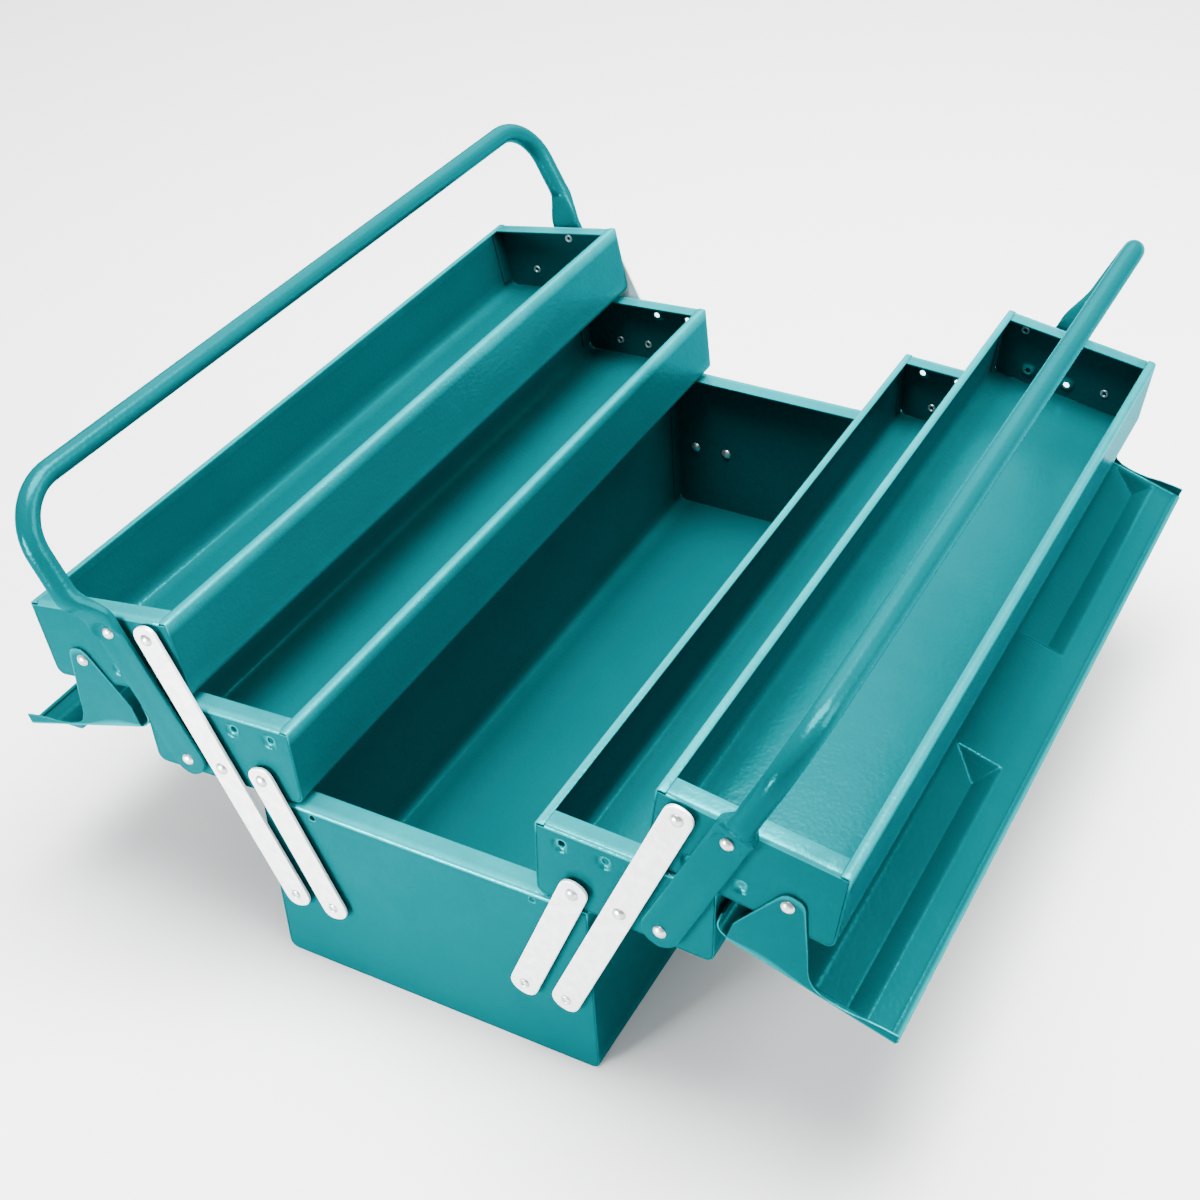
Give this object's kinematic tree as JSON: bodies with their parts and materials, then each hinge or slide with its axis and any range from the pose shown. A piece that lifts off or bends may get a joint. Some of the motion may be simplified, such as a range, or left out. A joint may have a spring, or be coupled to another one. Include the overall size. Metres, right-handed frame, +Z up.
{
  "type": "cantilever tool box",
  "caption": "Steel cantilever tool box with stepped trays that swing out on strap links, hinged ribbed lids and folding tube handles, shown open.",
  "frame": {"origin": "middle of the base's underside, on the surface the box stands on", "axes": "+Z up, Y along the box, X across it, the way the trays swing out"},
  "size_m": [0.5276, 0.5208, 0.2835],
  "materials": {
    "teal_paint": "gloss",
    "zinc_straps": "satin",
    "rivets": "satin",
    "spacers": "satin"
  },
  "bodies": {
    "base": {"base_pan": "teal_paint", "base_front_plate": "teal_paint", "base_back_plate": "teal_paint", "base_rivets": "rivets", "base_spacers": "spacers"},
    "right_long_links": {"right_front_long_link": "zinc_straps", "right_back_long_link": "zinc_straps"},
    "right_short_links": {"right_front_short_link": "zinc_straps", "right_back_short_link": "zinc_straps"},
    "right_middle_tray": {"right_middle_pan": "teal_paint", "right_middle_front_plate": "teal_paint", "right_middle_back_plate": "teal_paint", "right_middle_rivets": "rivets", "right_middle_spacers": "spacers"},
    "right_upper_tray": {"right_upper_pan": "teal_paint", "right_upper_front_plate": "teal_paint", "right_upper_back_plate": "teal_paint", "right_upper_rivets": "rivets", "right_upper_spacers": "spacers", "right_lid_rivets": "rivets"},
    "right_lid": {"right_lid": "teal_paint"},
    "right_handle": {"right_handle": "teal_paint"},
    "left_long_links": {"left_front_long_link": "zinc_straps", "left_back_long_link": "zinc_straps"},
    "left_short_links": {"left_front_short_link": "zinc_straps", "left_back_short_link": "zinc_straps"},
    "left_middle_tray": {"left_middle_pan": "teal_paint", "left_middle_front_plate": "teal_paint", "left_middle_back_plate": "teal_paint", "left_middle_rivets": "rivets", "left_middle_spacers": "spacers"},
    "left_upper_tray": {"left_upper_pan": "teal_paint", "left_upper_front_plate": "teal_paint", "left_upper_back_plate": "teal_paint", "left_upper_rivets": "rivets", "left_upper_spacers": "spacers", "left_lid_rivets": "rivets"},
    "left_lid": {"left_lid": "teal_paint"},
    "left_handle": {"left_handle": "teal_paint"}
  },
  "joints": [
    {"name": "right_trays_close", "type": "hinge", "parent": "base", "child": "right_long_links", "pos_m": [0.0845, 0, 0.05], "axis": [0, -1, 0], "range_deg": [0, 48.9]},
    {"name": "right_short_links_turn", "type": "hinge", "parent": "base", "child": "right_short_links", "pos_m": [0.06, 0, 0.0505], "axis": [0, -1, 0], "range_deg": [0, 48.81]},
    {"name": "right_middle_tray_turn", "type": "hinge", "parent": "right_long_links", "child": "right_middle_tray", "pos_m": [0.11956, 0, 0.12765], "axis": [0, -1, 0], "range_deg": [-45.7, 0]},
    {"name": "right_upper_tray_turn", "type": "hinge", "parent": "right_long_links", "child": "right_upper_tray", "pos_m": [0.15355, 0, 0.20293], "axis": [0, -1, 0], "range_deg": [-39.23, 0]},
    {"name": "right_handle_turn", "type": "hinge", "parent": "right_upper_tray", "child": "right_handle", "pos_m": [0.1792, 0, 0.19957], "axis": [0, -1, 0], "range_deg": [0, 39.45]},
    {"name": "right_lid_turn", "type": "hinge", "parent": "right_upper_tray", "child": "right_lid", "pos_m": [0.20729, 0, 0.16915], "axis": [0, -1, 0], "range_deg": [0, 189.21]},
    {"name": "left_trays_close", "type": "hinge", "parent": "base", "child": "left_long_links", "pos_m": [-0.0845, 0, 0.05], "axis": [0, 1, 0], "range_deg": [0, 48.9]},
    {"name": "left_short_links_turn", "type": "hinge", "parent": "base", "child": "left_short_links", "pos_m": [-0.06, 0, 0.0505], "axis": [0, 1, 0], "range_deg": [0, 48.81]},
    {"name": "left_middle_tray_turn", "type": "hinge", "parent": "left_long_links", "child": "left_middle_tray", "pos_m": [-0.11956, 0, 0.12765], "axis": [0, 1, 0], "range_deg": [-45.7, 0]},
    {"name": "left_upper_tray_turn", "type": "hinge", "parent": "left_long_links", "child": "left_upper_tray", "pos_m": [-0.15355, 0, 0.20293], "axis": [0, 1, 0], "range_deg": [-39.23, 0]},
    {"name": "left_handle_turn", "type": "hinge", "parent": "left_upper_tray", "child": "left_handle", "pos_m": [-0.1792, 0, 0.19957], "axis": [0, 1, 0], "range_deg": [0, 39.45]},
    {"name": "left_lid_turn", "type": "hinge", "parent": "left_upper_tray", "child": "left_lid", "pos_m": [-0.20729, 0, 0.16915], "axis": [0, 1, 0], "range_deg": [0, 189.21]}
  ],
  "couplings": [
    {"joint": "right_short_links_turn", "follows": "right_trays_close", "ratio": 0.99789},
    {"joint": "right_middle_tray_turn", "follows": "right_trays_close", "ratio": -0.9344},
    {"joint": "right_upper_tray_turn", "follows": "right_trays_close", "ratio": -0.80209},
    {"joint": "right_handle_turn", "follows": "right_trays_close", "ratio": 0.8065},
    {"joint": "right_lid_turn", "follows": "right_trays_close", "ratio": 3.8691},
    {"joint": "left_short_links_turn", "follows": "left_trays_close", "ratio": 0.99789},
    {"joint": "left_middle_tray_turn", "follows": "left_trays_close", "ratio": -0.9344},
    {"joint": "left_upper_tray_turn", "follows": "left_trays_close", "ratio": -0.80209},
    {"joint": "left_handle_turn", "follows": "left_trays_close", "ratio": 0.8065},
    {"joint": "left_lid_turn", "follows": "left_trays_close", "ratio": 3.8691}
  ]
}
